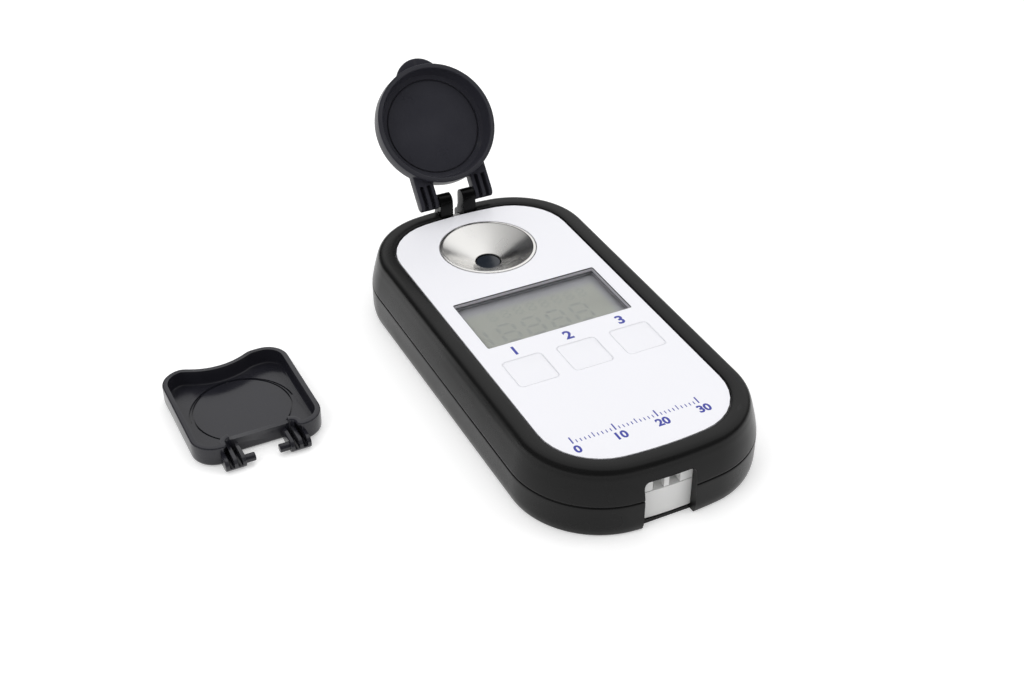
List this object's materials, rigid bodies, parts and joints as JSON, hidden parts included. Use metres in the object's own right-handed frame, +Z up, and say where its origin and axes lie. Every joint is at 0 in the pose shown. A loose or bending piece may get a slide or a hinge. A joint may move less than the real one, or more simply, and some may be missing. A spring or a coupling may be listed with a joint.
{
  "type": "digital refractometer",
  "caption": "Pocket refractometer in a black rubber boot: steel sample well, display, push keys, hinged round lid standing open, and a loose square lid lying beside it.",
  "frame": {"origin": "middle of the underside, on the plane that the instrument rests on", "axes": "+Z up out of the face, +Y towards the sample well and the lid hinge, +X to the right of the display"},
  "size_m": [0.1154, 0.137, 0.0489],
  "materials": {
    "rubber": "moulded black rubber, satin",
    "black_plastic": "moulded black plastic, satin",
    "white_plastic": "moulded white plastic, fine texture",
    "white_film": "printed white face film, semi-gloss",
    "steel": "turned and polished stainless steel",
    "spring_steel": "bright plated spring steel",
    "circuit_film": "amber circuit film",
    "window": "clear window",
    "panel": "grey-green display glass with a reflective back",
    "prism_glass": "polished optical glass",
    "lamp_resin": "tinted clear resin",
    "circuit_board": "green solder mask",
    "chip": "black moulding compound",
    "cell_jacket": "plain dark cell jacket"
  },
  "bodies": {
    "instrument": {"rubber_boot": "rubber", "lcd_contact_near": "rubber", "lcd_contact_far": "rubber", "prism_seal": "rubber", "upper_housing": "white_plastic", "lower_housing": "white_plastic", "face_film": "white_film", "snap_dome_left": "spring_steel", "snap_dome_centre": "spring_steel", "snap_dome_right": "spring_steel", "battery_contact": "spring_steel", "battery_spring": "spring_steel", "keypad_circuit": "circuit_film", "display_window": "window", "lcd_panel": "panel", "lcd_frame": "black_plastic", "optics_block": "black_plastic", "hinge_bracket": "black_plastic", "circuit_board": "circuit_board", "processor": "chip", "line_sensor": "chip", "sample_well": "steel", "board_screw_1": "steel", "board_screw_2": "steel", "board_screw_3": "steel", "board_screw_4": "steel", "case_screw_1": "steel", "case_screw_2": "steel", "case_screw_3": "steel", "case_screw_4": "steel", "optics_screw_left": "steel", "optics_screw_right": "steel", "bracket_screw_left": "steel", "bracket_screw_right": "steel", "prism": "prism_glass", "lamp": "lamp_resin", "aaa_cell": "cell_jacket"},
    "lid": {"lid": "black_plastic"},
    "key_left": {"key_left": "white_film"},
    "key_centre": {"key_centre": "white_film"},
    "key_right": {"key_right": "white_film"},
    "battery_door": {"battery_door": "white_plastic"},
    "spare_lid": {"spare_lid": "black_plastic"}
  },
  "joints": [
    {"name": "lid_hinge", "type": "hinge", "parent": "instrument", "child": "lid", "pos_m": [0, 0.0539, 0.02], "axis": [1, 0, 0], "range_deg": [0, 130.6]},
    {"name": "key_left_press", "type": "slide", "parent": "instrument", "child": "key_left", "axis": [0, 0, -1], "range_m": [0, 0.0004], "stiffness_N_per_m": 400, "springref_m": -0.0004},
    {"name": "key_centre_press", "type": "slide", "parent": "instrument", "child": "key_centre", "axis": [0, 0, -1], "range_m": [0, 0.0004], "stiffness_N_per_m": 400, "springref_m": -0.0004},
    {"name": "key_right_press", "type": "slide", "parent": "instrument", "child": "key_right", "axis": [0, 0, -1], "range_m": [0, 0.0004], "stiffness_N_per_m": 400, "springref_m": -0.0004},
    {"name": "battery_door_hinge", "type": "hinge", "parent": "instrument", "child": "battery_door", "pos_m": [0, -0.02765, 0.00085], "axis": [1, 0, 0], "range_deg": [0, 80]},
    {"name": "spare_lid_lift", "type": "slide", "parent": "instrument", "child": "spare_lid", "axis": [0, 0, 1], "range_m": [0, 0.03]}
  ]
}
